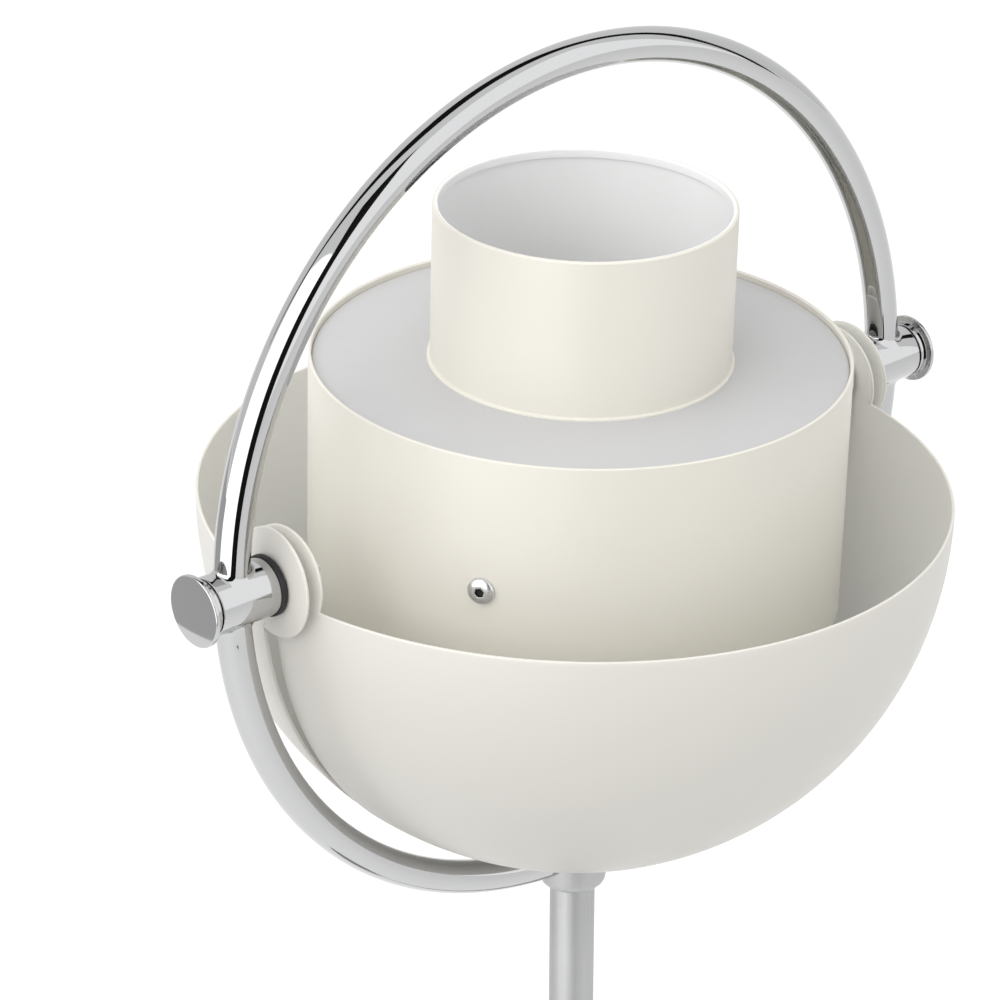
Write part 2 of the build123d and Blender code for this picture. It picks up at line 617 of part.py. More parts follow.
def lead_grommet():
    """Rubber ring in the bottom plate where the leads come up from the cradle."""
    low, high = -PLATE_FACE, PLATE_THICKNESS - PLATE_FACE
    lip = GROMMET_RADIUS + GROMMET_LIP
    body = cylinder_z(GROMMET_RADIUS, low, high)
    body = body + cylinder_z(lip, low - GROMMET_LIP_THICKNESS, low)
    body = body + cylinder_z(lip, high, high + GROMMET_LIP_THICKNESS)
    hole = cylinder_z(GROMMET_RADIUS - GROMMET_WALL, low - 2, high + 2)
    return on_head(Pos(*GROMMET_PLACE, 0) * (body - hole))


# ---------------------------------------------------------------- shells
def skin(half_width, centre, start, sweep):
    """Thin ellipsoidal skin turned about its own axis, parallel to the axle."""
    inner_width = half_width - SHELL_WALL
    outline = [
        EllipticalCenterArc((0, 0), half_width, SHELL_RADIUS, 0, arc_size=180),
        EllipticalCenterArc((0, 0), inner_width, SHELL_RADIUS - SHELL_WALL, 0, arc_size=180),
        Line((-half_width, 0), (-inner_width, 0)),
        Line((inner_width, 0), (half_width, 0)),
    ]
    turned = revolve(make_face(outline), Axis.X, sweep)
    return Pos(0, *centre) * Rot(start, 0, 0) * turned


def ears(half_width, centre, radius):
    """Round ears: the skin carried on round the axle at both ends."""
    ear = skin(half_width, centre, 0, 360) & cylinder_x(radius, 0, 2 * SHELL_RADIUS)
    return [ear, mirror(ear, about=Plane.YZ)]


def bush_hole():
    return cylinder_x(BUSH_RADIUS, -2 * SHELL_RADIUS, 2 * SHELL_RADIUS)


def front_shell():
    """Quarter of the skin, from the front rim down to just past the lowest point."""
    start = 180 - FRONT_RIM_SLOPE
    quarter = skin(FRONT_HALF_WIDTH, FRONT_CENTRE, start, 270 + EDGE_SLOPE - start)
    shell = quarter + ears(FRONT_HALF_WIDTH, FRONT_CENTRE, FRONT_EAR_RADIUS)
    return at_axle(shell - bush_hole())


def rear_shell():
    """The same at the back, its lower edge trimmed just clear of the front shell's."""
    start = 255.0
    quarter = skin(REAR_HALF_WIDTH, REAR_CENTRE, start, 360 + REAR_RIM_SLOPE - start)
    reach = 2 * SHELL_RADIUS
    trim = Pos(0, -reach / 2, 0) * Box(2 * reach, reach, 2 * reach)
    trim_place = Pos(0, FRONT_CENTRE[0] + EDGE_GAP, FRONT_CENTRE[1]) * Rot(EDGE_SLOPE, 0, 0)
    shell = (quarter - trim_place * trim) + ears(REAR_HALF_WIDTH, REAR_CENTRE, REAR_EAR_RADIUS)
    return at_axle(shell - bush_hole())


def shell_bushes(half_width, centre):
    """Plastic bushes that fill the ear holes and turn on the axle."""
    ear = ears(half_width, centre, BUSH_RADIUS)[0]
    bush = ear - cylinder_x(AXLE_RADIUS + RUNNING_CLEARANCE, 0, 2 * SHELL_RADIUS)
    return at_axle(both_sides(bush))


# ---------------------------------------------------------------- all pieces
def all_parts():
    parts = {
        "base_pad": base_pad(),
        "base_weight": base_weight(),
        "base_cover": base_cover(),
        "cord_gland": cord_gland(),
        "foot_collar": foot_collar(),
        "stem_washer": stem_washer(),
        "stem_nut": stem_nut(),
        "stem_lower": stem_lower(),
        "stem_coupler": stem_coupler(),
        "stem_upper": stem_upper(),
        "hoop_collar": hoop_collar(),
        "hoop_upper": hoop_upper(),
        "axle_end_nuts": axle_end_nuts(),
        "ear_spacers": ear_spacers(),
        "ear_washers": ear_washers(),
        "ear_lock_nuts": ear_lock_nuts(),
        "drum": drum(),
        "top_plate": on_head(ring_plate()),
        "bottom_plate": bottom_plate(),
        "upper_cylinder": on_head(small_cylinder()),
        "lower_cylinder": on_head(lower_half(small_cylinder())),
        "arm_spacers": arm_spacers(),
        "arm_screws": arm_screws(),
        "arm_nuts": arm_nuts(),
        "lead_grommet": lead_grommet(),
        "lamp_spider": lamp_spider(),
        "spider_screws": spider_screws(),
        "spider_nuts": spider_nuts(),
        "holder_nipple": holder_nipple(),
        "nipple_nuts": nipple_nuts(),
        "lampholder_up": above_spider(holder_body()),
        "lampholder_down": below_spider(holder_body()),
        "socket_shell_up": above_spider(socket_shell()),
        "socket_shell_down": below_spider(socket_shell()),
        "terminal_block": terminal_block(),
        "block_screw": block_screw(),
        "front_shell": front_shell(),
        "rear_shell": rear_shell(),
        "front_shell_bushes": shell_bushes(FRONT_HALF_WIDTH, FRONT_CENTRE),
        "rear_shell_bushes": shell_bushes(REAR_HALF_WIDTH, REAR_CENTRE),
    }
    for side in SIDES:
        parts[f"hoop_lower_{side}"] = hoop_lower(side)
        parts[f"pivot_boss_{side}"] = pivot_boss(side)
        parts[f"end_cap_{side}"] = end_cap(side)
        parts[f"friction_washer_{side}"] = friction_washer(side)
        parts[f"axle_{side}"] = axle(side)
        parts[f"cradle_arm_{side}"] = cradle_arm(side)
    return parts


os.makedirs("parts", exist_ok=True)
for name, solid in all_parts().items():
    export_step(solid, f"parts/{name}.step")
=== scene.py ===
"""Looks of the hoop floor lamp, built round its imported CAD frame.

Metres, +Z up, -Y towards the front, X along the head's axle.  The hoop, its bosses, caps and
washers, the collar, stem and foot ring, the drum, its top plate and screws, both small cylinders
and both shells are made again here as fine meshes in the place their CAD nodes hold.  Every other
node keeps its CAD mesh and takes its slot's material.
"""
import json
from math import asin, atan2, cos, hypot, pi, radians, sin, sqrt, tan

import bmesh
import bpy
from mathutils import Matrix, Vector


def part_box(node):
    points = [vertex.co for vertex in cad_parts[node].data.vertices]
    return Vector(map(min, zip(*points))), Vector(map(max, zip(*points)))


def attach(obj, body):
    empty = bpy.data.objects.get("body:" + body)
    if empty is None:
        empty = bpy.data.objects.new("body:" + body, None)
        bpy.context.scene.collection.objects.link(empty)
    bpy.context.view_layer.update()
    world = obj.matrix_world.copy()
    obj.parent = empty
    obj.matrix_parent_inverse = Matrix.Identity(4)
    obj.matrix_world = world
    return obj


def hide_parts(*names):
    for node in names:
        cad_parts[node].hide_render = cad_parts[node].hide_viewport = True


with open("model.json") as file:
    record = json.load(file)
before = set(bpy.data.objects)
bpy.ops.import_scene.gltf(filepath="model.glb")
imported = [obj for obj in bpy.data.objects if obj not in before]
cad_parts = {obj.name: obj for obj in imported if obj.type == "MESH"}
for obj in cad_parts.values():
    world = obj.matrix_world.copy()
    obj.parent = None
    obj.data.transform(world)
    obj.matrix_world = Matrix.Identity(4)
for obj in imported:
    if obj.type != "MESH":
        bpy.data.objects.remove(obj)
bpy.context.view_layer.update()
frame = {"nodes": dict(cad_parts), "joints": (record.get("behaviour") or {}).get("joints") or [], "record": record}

HEAD = Vector(frame["joints"][0]["pos_m"])      # middle of the axle
HEAD_LEAN = radians(1.8)                        # the head rests turned this far forward
ON_HEAD = Matrix.Translation(HEAD) @ Matrix.Rotation(HEAD_LEAN, 4, "X")
ON_AXLE = Matrix.Translation(HEAD)
ALONG_X = Matrix.Rotation(pi / 2, 4, "Y")       # turns a lathe's Z into +X
MIRROR_X = Matrix.Scale(-1, 4, (1, 0, 0))
SIDES = {"left": MIRROR_X, "right": Matrix.Identity(4)}

# ---------------------------------------------------------------- camera
CAMERA_AZIMUTH = radians(-42.567)
CAMERA_ELEVATION = radians(24.581)
CAMERA_DISTANCE = 1.45224
CAMERA_LENS = 148.49
CAMERA_YAW = radians(-1.061)
CAMERA_PITCH = radians(-0.424)
CAMERA_ROLL = radians(0.606)


def direction(azimuth, elevation):
    """Unit vector; azimuth 0 is the front, and it grows towards +X."""
    return Vector((sin(azimuth) * cos(elevation), -cos(azimuth) * cos(elevation), sin(elevation)))


def make_camera():
    back = direction(CAMERA_AZIMUTH, CAMERA_ELEVATION)
    right = (-back).cross(Vector((0, 0, 1))).normalized()
    up = right.cross(-back)
    aim = (-back + tan(CAMERA_YAW) * right + tan(CAMERA_PITCH) * up).normalized()
    right = aim.cross(up).normalized()
    up = right.cross(aim)
    side = cos(CAMERA_ROLL) * right + sin(CAMERA_ROLL) * up
    top = cos(CAMERA_ROLL) * up - sin(CAMERA_ROLL) * right
    camera = bpy.data.objects.new("camera", bpy.data.cameras.new("camera"))
    bpy.context.scene.collection.objects.link(camera)
    camera.data.lens = CAMERA_LENS
    camera.data.clip_start = 0.05
    camera.data.clip_end = 200.0
    turn = Matrix((side, top, -aim)).transposed().to_4x4()
    camera.matrix_world = Matrix.Translation(HEAD + back * CAMERA_DISTANCE) @ turn
    bpy.context.scene.camera = camera


# ---------------------------------------------------------------- studio
SKY = ((0.0, 0.60), (0.55, 0.94), (1.0, 1.02))  # share of the way up from below, brightness
FLOOR_HALF = 40.0
FLOOR_GLOW = 0.09
LIGHTS = {                                      # azimuth, elevation, distance from the head, size, power
    "key": (radians(-72), radians(30), 2.6, 1.5, 14.0),
    "top_fill": (radians(-60), radians(72), 2.2, 1.2, 7.0),
    "left_fill": (radians(-112), radians(42), 2.4, 1.2, 9.0),
}
BLACK_CARD_DISTANCE = 2.5
WHITE_CARD_DISTANCE = 2.8

# Ribbons that only reflections see: (azimuth, elevation, width) in degrees down each one's middle.
WHITE_CARDS = {
    "soft_box": (2.3, [(-84, -24, 78), (-84, 25, 74), (-84, 52, 70)]),
    "front_wall": (1.42, [(18, -2, 74), (18, 30, 70), (18, 62, 56)]),
}
BLACK_CARDS = {
    "gap_by_camera": [(-31, -36, 20), (-32, -18, 27), (-31, 2, 30), (-28, 24, 26),
                      (-26, 44, 20), (-38, 66, 20)],
    "seam_overhead": [(-141, 20, 3), (-142, 40, 9), (-158, 62, 22), (175, 72, 31), (128, 64, 25),
                      (105, 54, 13), (84, 38, 7), (66, 20, 4), (55, -4, 3)],
    "seam_low": [(-112, -44, 3), (-100, -50, 4), (-70, -58, 4)],
}
CARD_BLACK = 0.012
GREY_CARD = (0.60, [(-138, -29, 46), (-138, -4, 46)])


def link(name, mesh, *materials):
    piece = bpy.data.objects.new(name, mesh)
    bpy.context.scene.collection.objects.link(piece)
    for material in materials:
        mesh.materials.append(material)
    return piece


def ribbon_mesh(name, spine, distance):
    """A band on a sphere round the head, between two edges set off from its spine."""
    middles = [direction(radians(az), radians(el)) for az, el, _ in spine]
    steps = 12
    vertices = []
    for i, middle in enumerate(middles):
        tangent = middles[min(i + 1, len(spine) - 1)] - middles[max(i - 1, 0)]
        across = middle.cross(tangent).normalized() * tan(radians(spine[i][2] / 2))
        for k in range(steps + 1):
            edge = (middle + across * (2 * k / steps - 1)).normalized()
            vertices.append(HEAD + edge * distance)
    faces = []
    for i in range(len(spine) - 1):
        for k in range(steps):
            a = i * (steps + 1) + k
            faces.append((a, a + 1, a + steps + 2, a + steps + 1))
    mesh = bpy.data.meshes.new(name)
    mesh.from_pydata(vertices, [], faces)
    return mesh


def smooth_spine(spine, parts=6):
    """More points along a spine, on a Catmull-Rom curve through its own."""
    dense = []
    unwrapped = [list(spine[0])]
    for az, el, width in spine[1:]:
        while az - unwrapped[-1][0] > 180:
            az -= 360
        while az - unwrapped[-1][0] < -180:
            az += 360
        unwrapped.append([az, el, width])
    last = len(unwrapped) - 1
    for i in range(last):
        p0, p1, p2, p3 = (unwrapped[min(max(j, 0), last)] for j in (i - 1, i, i + 1, i + 2))
        for k in range(parts):
            t = k / parts
            dense.append([0.5 * (2 * b + (c - a) * t + (2 * a - 5 * b + 4 * c - d) * t * t
                          + (3 * b - a - 3 * c + d) * t ** 3) for a, b, c, d in zip(p0, p1, p2, p3)])
    dense.append(unwrapped[last])
    return dense


def reflection_card(name, spine, distance, strength):
    material = bpy.data.materials.new(name)
    material.use_nodes = True
    nodes = material.node_tree.nodes
    nodes.clear()
    glow = nodes.new("ShaderNodeEmission")
    glow.inputs["Color"].default_value = (strength, strength, strength * 1.005, 1)
    out = nodes.new("ShaderNodeOutputMaterial")
    material.node_tree.links.new(glow.outputs["Emission"], out.inputs["Surface"])
    card = link(name, ribbon_mesh(name, smooth_spine(spine), distance), material)
    card.visible_camera = False
    card.visible_diffuse = False
    card.visible_shadow = False
    card.visible_transmission = False


def area_light(name, azimuth, elevation, distance, size, power):
    light = bpy.data.lights.new(name, "AREA")
    light.size = size
    light.energy = power
    lamp = bpy.data.objects.new(name, light)
    bpy.context.scene.collection.objects.link(lamp)
    back = direction(azimuth, elevation)
    turn = back.to_track_quat("Z", "Y").to_matrix().to_4x4()
    lamp.matrix_world = Matrix.Translation(HEAD + back * distance) @ turn
    lamp.visible_camera = False
    lamp.visible_glossy = False


def make_studio():
    bpy.context.scene.view_settings.view_transform = "Standard"
    world = bpy.data.worlds.new("studio")
    world.use_nodes = True
    nodes = world.node_tree.nodes
    place = nodes.new("ShaderNodeTexCoord")
    height = nodes.new("ShaderNodeSeparateXYZ")
    shades = nodes.new("ShaderNodeValToRGB")
    spread = nodes.new("ShaderNodeMapRange")
    spread.inputs["From Min"].default_value = -1
    world.node_tree.links.new(place.outputs["Generated"], height.inputs["Vector"])
    world.node_tree.links.new(height.outputs["Z"], spread.inputs["Value"])
    world.node_tree.links.new(spread.outputs["Result"], shades.inputs["Fac"])
    world.node_tree.links.new(shades.outputs["Color"], nodes["Background"].inputs["Color"])
    ramp = shades.color_ramp
    ramp.elements.new(SKY[1][0])
    for element, (_, value) in zip(ramp.elements, SKY):
        element.color = (value, value, value, 1)
    bpy.context.scene.world = world
    floor_mesh = bpy.data.meshes.new("floor")
    corners = [(x * FLOOR_HALF, y * FLOOR_HALF, 0) for x, y in ((-1, -1), (1, -1), (1, 1), (-1, 1))]
    floor_mesh.from_pydata(corners, [], [(0, 1, 2, 3)])
    floor = link("floor", floor_mesh, floor_paint())
    floor.visible_diffuse = False
    for name, values in LIGHTS.items():
        area_light(name, *values)
    for name, (strength, spine) in WHITE_CARDS.items():
        reflection_card(name, spine, WHITE_CARD_DISTANCE, strength)
    for name, spine in BLACK_CARDS.items():
        reflection_card(name, spine, BLACK_CARD_DISTANCE, CARD_BLACK)
    reflection_card("grey_wall", GREY_CARD[1], BLACK_CARD_DISTANCE, GREY_CARD[0])


# ---------------------------------------------------------------- materials
class Paint:
    """A principled material and short ways to add procedural detail to it."""

    def __init__(self, name, colour, metallic, roughness, **uniform):
        self.material = bpy.data.materials.new(name)
        self.material.use_nodes = True
        self.tree = self.material.node_tree
        self.shader = self.tree.nodes["Principled BSDF"]
        self.colour = colour
        self.shader.inputs["Base Color"].default_value = (*colour, 1)
        self.shader.inputs["Metallic"].default_value = metallic
        self.shader.inputs["Roughness"].default_value = roughness
        for socket, value in uniform.items():
            self.shader.inputs[socket.replace("_", " ")].default_value = value
        self.last_bump = None

    def node(self, kind, **values):
        made = self.tree.nodes.new(kind)
        for socket, value in values.items():
            made.inputs[socket].default_value = value
        return made

    def noise(self, scale, detail=2.0, stretch=(1, 1, 1)):
        """Noise in the piece's own space; scale is in features per metre."""
        place = self.tree.nodes.new("ShaderNodeTexCoord")
        mapping = self.node("ShaderNodeMapping", Scale=stretch)
        noise = self.node("ShaderNodeTexNoise", Scale=scale, Detail=detail)
        self.tree.links.new(place.outputs["Object"], mapping.inputs["Vector"])
        self.tree.links.new(mapping.outputs["Vector"], noise.inputs["Vector"])
        return noise.outputs["Fac"]

    def spread(self, value, low, high):
        ramp = self.tree.nodes.new("ShaderNodeMapRange")
        ramp.inputs["From Min"].default_value = 0.3
        ramp.inputs["From Max"].default_value = 0.7
        ramp.inputs["To Min"].default_value = low
        ramp.inputs["To Max"].default_value = high
        self.tree.links.new(value, ramp.inputs["Value"])
        return ramp.outputs["Result"]

    def vary_roughness(self, value, low, high):
        self.tree.links.new(self.spread(value, low, high), self.shader.inputs["Roughness"])
        return self

    def vary_colour(self, value, other):
        """Mixes the paint's colour with another by a noise value."""
        mix = self.tree.nodes.new("ShaderNodeMix")
        mix.data_type = "RGBA"
        mix.inputs["A"].default_value = (*self.colour, 1)
        mix.inputs["B"].default_value = (*other, 1)
        self.tree.links.new(self.spread(value, 0, 1), mix.inputs["Factor"])
        self.tree.links.new(mix.outputs["Result"], self.shader.inputs["Base Color"])
        return self

    def bump(self, value, strength, height):
        bump = self.node("ShaderNodeBump", Strength=strength, Distance=height)
        self.tree.links.new(value, bump.inputs["Height"])
        if self.last_bump:
            self.tree.links.new(self.last_bump.outputs["Normal"], bump.inputs["Normal"])
        self.tree.links.new(bump.outputs["Normal"], self.shader.inputs["Normal"])
        self.last_bump = bump
        return self


def tint(colour, factor):
    return tuple(c * factor for c in colour)


def lacquer_paint(name, colour):
    """Semi-matt sprayed lacquer: faint clouding, orange peel and fine tooth."""
    paint = Paint(name, colour, 0.0, 0.42, Specular_IOR_Level=0.42)
    paint.vary_colour(paint.noise(9), tint(colour, 0.985))
    paint.vary_roughness(paint.noise(60), 0.38, 0.47)
    paint.bump(paint.noise(420, 2), 0.05, 0.0004)
    paint.bump(paint.noise(2600, 1), 0.04, 0.0001)
    return paint.material


def floor_paint():
    paint = Paint("floor_paint", (0.97, 0.97, 0.97), 0.0, 0.75, Specular_IOR_Level=0.15,
                  Emission_Color=(1, 1, 1, 1), Emission_Strength=FLOOR_GLOW)
    paint.vary_colour(paint.noise(0.7), (0.955, 0.955, 0.96))
    return paint.material


def chrome_paint():
    paint = Paint("chrome", (0.515, 0.517, 0.52), 1.0, 0.045)
    paint.vary_colour(paint.noise(14), (0.50, 0.502, 0.505))
    paint.vary_roughness(paint.noise(90, 3), 0.03, 0.06)
    paint.bump(paint.noise(55, 1), 0.03, 0.0004)
    return paint.material


def brushed_paint(name, colour, stretch, roughness):
    paint = Paint(name, colour, 1.0, roughness)
    paint.vary_colour(paint.noise(30), tint(colour, 0.93))
    paint.vary_roughness(paint.noise(900, 2, stretch), roughness - 0.05, roughness + 0.07)
    paint.bump(paint.noise(1400, 2, stretch), 0.10, 0.00008)
    return paint.material


def zinc_paint():
    paint = Paint("zinc_steel", (0.74, 0.745, 0.75), 1.0, 0.3)
    paint.vary_colour(paint.noise(240, 3), (0.68, 0.69, 0.70))
    paint.vary_roughness(paint.noise(500), 0.26, 0.38)
    paint.bump(paint.noise(1500), 0.06, 0.0001)
    return paint.material


def rubber_paint():
    paint = Paint("black_rubber", (0.012, 0.012, 0.013), 0.0, 0.62, Specular_IOR_Level=0.4)
    paint.vary_colour(paint.noise(160), (0.022, 0.022, 0.024))
    paint.vary_roughness(paint.noise(700), 0.52, 0.72)
    paint.bump(paint.noise(1800, 3), 0.15, 0.0001)
    return paint.material


def iron_paint():
    paint = Paint("cast_iron", (0.05, 0.05, 0.053), 0.0, 0.6)
    paint.vary_colour(paint.noise(90, 3), (0.075, 0.07, 0.065))
    paint.vary_roughness(paint.noise(300), 0.5, 0.75)
    paint.bump(paint.noise(450, 4), 0.5, 0.0005)
    return paint.material


def plastic_paint():
    paint = Paint("white_plastic", (0.80, 0.80, 0.78), 0.0, 0.38)
    paint.vary_colour(paint.noise(40), (0.77, 0.77, 0.745))
    paint.vary_roughness(paint.noise(350), 0.33, 0.45)
    paint.bump(paint.noise(1100, 2), 0.06, 0.0001)
    return paint.material


def brass_paint():
    paint = Paint("brass", (0.80, 0.60, 0.30), 1.0, 0.25)
    paint.vary_colour(paint.noise(120, 2), (0.70, 0.50, 0.24))
    paint.vary_roughness(paint.noise(420), 0.18, 0.36)
    paint.bump(paint.noise(1300), 0.05, 0.0001)
    return paint.material


OUTER_LACQUER = (0.735, 0.715, 0.665)
# The drum and both small cylinders take a lighter copy of the one lacquer: painted light.
DRUM_PAINTED_LIGHT_LACQUER = (0.76, 0.735, 0.665)
# Inside the shells, drum and cylinders the lacquer is lighter than outside: partly the inside's own paint, partly
# painted light that lifts the shaded insides and their bounce onto the drum.
SHELL_INSIDE_WITH_PAINTED_LIGHT = (0.91, 0.91, 0.885)
INNER_LACQUER_WITH_PAINTED_LIGHT = (0.97, 0.97, 0.97)
# The top plate takes a darker copy of the lacquer: painted shade on its upward face.
PLATE_PAINTED_SHADE_LACQUER = (0.525, 0.525, 0.53)
PAINTS = {
    "lacquer": lacquer_paint("lacquer", OUTER_LACQUER),
    "chrome": chrome_paint(),
    "satin_steel": brushed_paint("satin_steel", (0.455, 0.457, 0.46), (1, 1, 0.03), 0.5),
    "zinc_steel": zinc_paint(),
    "black_rubber": rubber_paint(),
    "cast_iron": iron_paint(),
    "white_plastic": plastic_paint(),
    "brass": brass_paint(),
}
# lighter inside lacquers: the inside's own paint and painted light
INSIDE_WITH_PAINTED_LIGHT = lacquer_paint("lacquer_inside_painted_light", INNER_LACQUER_WITH_PAINTED_LIGHT)
SHELL_LINING_WITH_PAINTED_LIGHT = lacquer_paint("lacquer_shell_inside_painted_light", SHELL_INSIDE_WITH_PAINTED_LIGHT)
# lighter lacquer for the drum and cylinders: painted light
DRUM_PAINTED_LIGHT = lacquer_paint("lacquer_drum_painted_light", DRUM_PAINTED_LIGHT_LACQUER)
# darker lacquer for the top plate: painted shade
PLATE_PAINTED_SHADE = lacquer_paint("lacquer_plate_painted_shade", PLATE_PAINTED_SHADE_LACQUER)


def paint_frame():
    """Every CAD node takes its slot's material."""
    slot_of = {part["node"]: part["material_slot"] for part in frame["record"]["subparts"]}
    for name, node in frame["nodes"].items():
        for holder in node.material_slots:
            holder.material = PAINTS[slot_of[name]]


# ---------------------------------------------------------------- mesh tools
SMOOTH_ANGLE = radians(38)


def finish_mesh(name, vertices, faces, place, kinds=None, materials=()):
    """Mesh object from lists, with outward normals; kinds gives each face's material number."""
    mesh = bpy.data.meshes.new(name)
    mesh.from_pydata([place @ Vector(v) for v in vertices], [], faces)
    if kinds:
        mesh.polygons.foreach_set("material_index", kinds)
    work = bmesh.new()
    work.from_mesh(mesh)
    bmesh.ops.recalc_face_normals(work, faces=work.faces)
    work.to_mesh(mesh)
    work.free()
    mesh.shade_smooth()
    mesh.set_sharp_from_angle(angle=SMOOTH_ANGLE)
    return link(name, mesh, *materials)


def stand_in(piece, node, body):
    """The piece, built in one CAD node's place, stands in for it: the node is hidden and the piece joins its body.
    """
    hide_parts(node)
    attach(piece, body)


def rounded(corners, steps=5):
    """Closed outline from (radius, height, round) corners, with an arc at each round one."""
    outline = []
    count = len(corners)
    for i, (r, h, size) in enumerate(corners):
        here = Vector((r, h))
        if not size:
            outline.append(tuple(here))
            continue
        before = (Vector(corners[i - 1][:2]) - here).normalized()
        after = (Vector(corners[(i + 1) % count][:2]) - here).normalized()
        half = before.angle(after) / 2
        centre = here + (before + after).normalized() * (size / sin(half))
        start = here + before * (size / tan(half)) - centre
        end = here + after * (size / tan(half)) - centre
        turn = start.angle_signed(end)
        for k in range(steps + 1):
            a = -turn * k / steps
            outline.append((centre.x + start.x * cos(a) - start.y * sin(a),
                            centre.y + start.x * sin(a) + start.y * cos(a)))
    return outline


def hexagon_reach(angle):
    """Distance to a unit hexagon's side, over its half width across flats, at an angle."""
    return 1 / cos((angle + pi / 6) % (pi / 3) - pi / 6)


def lathe(outline, steps, hexagon=()):
    """Vertices and faces of a closed outline turned about Z; outline points listed in
    hexagon follow a hexagon instead of a circle, and points on the axis become poles."""
    vertices, rings = [], []
    for number, (r, h) in enumerate(outline):
        if r < 1e-7:
            rings.append([len(vertices)] * steps)
            vertices.append((0, 0, h))
            continue
        rings.append(list(range(len(vertices), len(vertices) + steps)))
        for k in range(steps):
            a = 2 * pi * k / steps
            reach = r * hexagon_reach(a) if number in hexagon else r
            vertices.append((reach * cos(a), reach * sin(a), h))
    faces = []
    for i, ring in enumerate(rings):
        following = rings[(i + 1) % len(rings)]
        for k in range(steps):
            n = (k + 1) % steps
            face = [ring[k], ring[n], following[n], following[k]]
            unique = list(dict.fromkeys(face))
            if len(unique) > 2:
                faces.append(unique)
    return vertices, faces


# ---------------------------------------------------------------- hoop, bosses and caps
def measured(node):
    """Box corners of a node, from the axle's middle."""
    low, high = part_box(node)
    return low - HEAD, high - HEAD


HOOP_HIGH = measured("hoop_upper")[1]
TUBE_RADIUS = HOOP_HIGH.y
HOOP_RADIUS = HOOP_HIGH.z - TUBE_RADIUS
BOSS_LOW, BOSS_HIGH = measured("pivot_boss_right")
BOSS_RADIUS = BOSS_HIGH.y
WELD = 0.0017
WELD_OVERLAP = 0.0012       # how far the tube's end sinks into the boss
BORE_RADIUS = 0.00505
POCKET_RADIUS = 0.0086
POCKET_DEPTH = 0.0062
CAP_FLANGE = 0.0021
CAP_DOME = 0.0005
CAP_GROOVE = 0.0007
CAP_SPIGOT = 0.0015
EDGE = 0.00045
PLAIN_TUBE_START = 0.003    # plain tube begins this far past the weld
ARC_STEPS = 176
HOOP_END = 0.004            # lower tubes stop this far from the collar's middle
TUBE_STEPS = 72


def hoop_ring_at_boss(flare, rise, lower):
    """Ring round the tube on the boss's own curve: flare wider than the tube, rise above it."""
    ring = []
    for k in range(TUBE_STEPS):
        a = 2 * pi * k / TUBE_STEPS
        radius = TUBE_RADIUS + flare
        reach = HOOP_RADIUS + radius * cos(a)
        side = radius * sin(a)
        height = sqrt(BOSS_RADIUS ** 2 - side ** 2) + rise
        around = asin(height / reach)
        climb = reach * sin(around)
        ring.append((reach * cos(around), side, -climb if lower else climb))
    return ring


def hoop_ring(around):
    ring = []
    for k in range(TUBE_STEPS):
        a = 2 * pi * k / TUBE_STEPS
        reach = HOOP_RADIUS + TUBE_RADIUS * cos(a)
        ring.append((reach * cos(around), TUBE_RADIUS * sin(a), reach * sin(around)))
    return ring


def weld_rings(lower):
    """From inside the boss out to the plain tube, along a hollow quarter-round weld."""
    rings = [hoop_ring_at_boss(WELD, -WELD_OVERLAP, lower)]
    steps = 7
    for k in range(steps + 1):
        a = pi / 2 * k / steps
        rings.append(hoop_ring_at_boss(WELD * (1 - sin(a)), WELD * (1 - cos(a)), lower))
    return rings


def tube_from_rings(rings):
    vertices = [v for ring in rings for v in ring]
    faces = []
    for i in range(len(rings) - 1):
        for k in range(TUBE_STEPS):
            n = (k + 1) % TUBE_STEPS
            a, b = i * TUBE_STEPS, (i + 1) * TUBE_STEPS
            faces.append((a + k, a + n, b + n, b + k))
    faces.append(tuple(range(TUBE_STEPS)))
    faces.append(tuple(range(len(vertices) - TUBE_STEPS, len(vertices))))
    return vertices, faces


def make_hoop():
    first = asin((BOSS_RADIUS + WELD + PLAIN_TUBE_START) / HOOP_RADIUS)
    right = weld_rings(False)
    left = [[(-x, y, z) for x, y, z in ring] for ring in right]
    span = pi - 2 * first
    middle = [hoop_ring(first + span * i / ARC_STEPS) for i in range(ARC_STEPS + 1)]
    vertices, faces = tube_from_rings(right + middle + left[::-1])
    upper = finish_mesh("hoop_upper_tube", vertices, faces, ON_AXLE, materials=[PAINTS["chrome"]])
    stand_in(upper, "hoop_upper", "stand")
    last = pi / 2 - asin(HOOP_END / HOOP_RADIUS)
    count = ARC_STEPS // 2
    quarter = [hoop_ring(-(first + (last - first) * i / count)) for i in range(count + 1)]
    for side, mirror in SIDES.items():
        vertices, faces = tube_from_rings(weld_rings(True) + quarter)
        lower = finish_mesh(f"hoop_lower_tube_{side}", vertices, faces, ON_AXLE @ mirror,
                            materials=[PAINTS["chrome"]])
        stand_in(lower, f"hoop_lower_{side}", "stand")


def turned_on_axle(name, outline, steps, node, slot, mirror):
    vertices, faces = lathe(outline, steps)
    piece = finish_mesh(name, vertices, faces, ON_AXLE @ mirror @ ALONG_X, materials=[PAINTS[slot]])
    stand_in(piece, node, "stand")


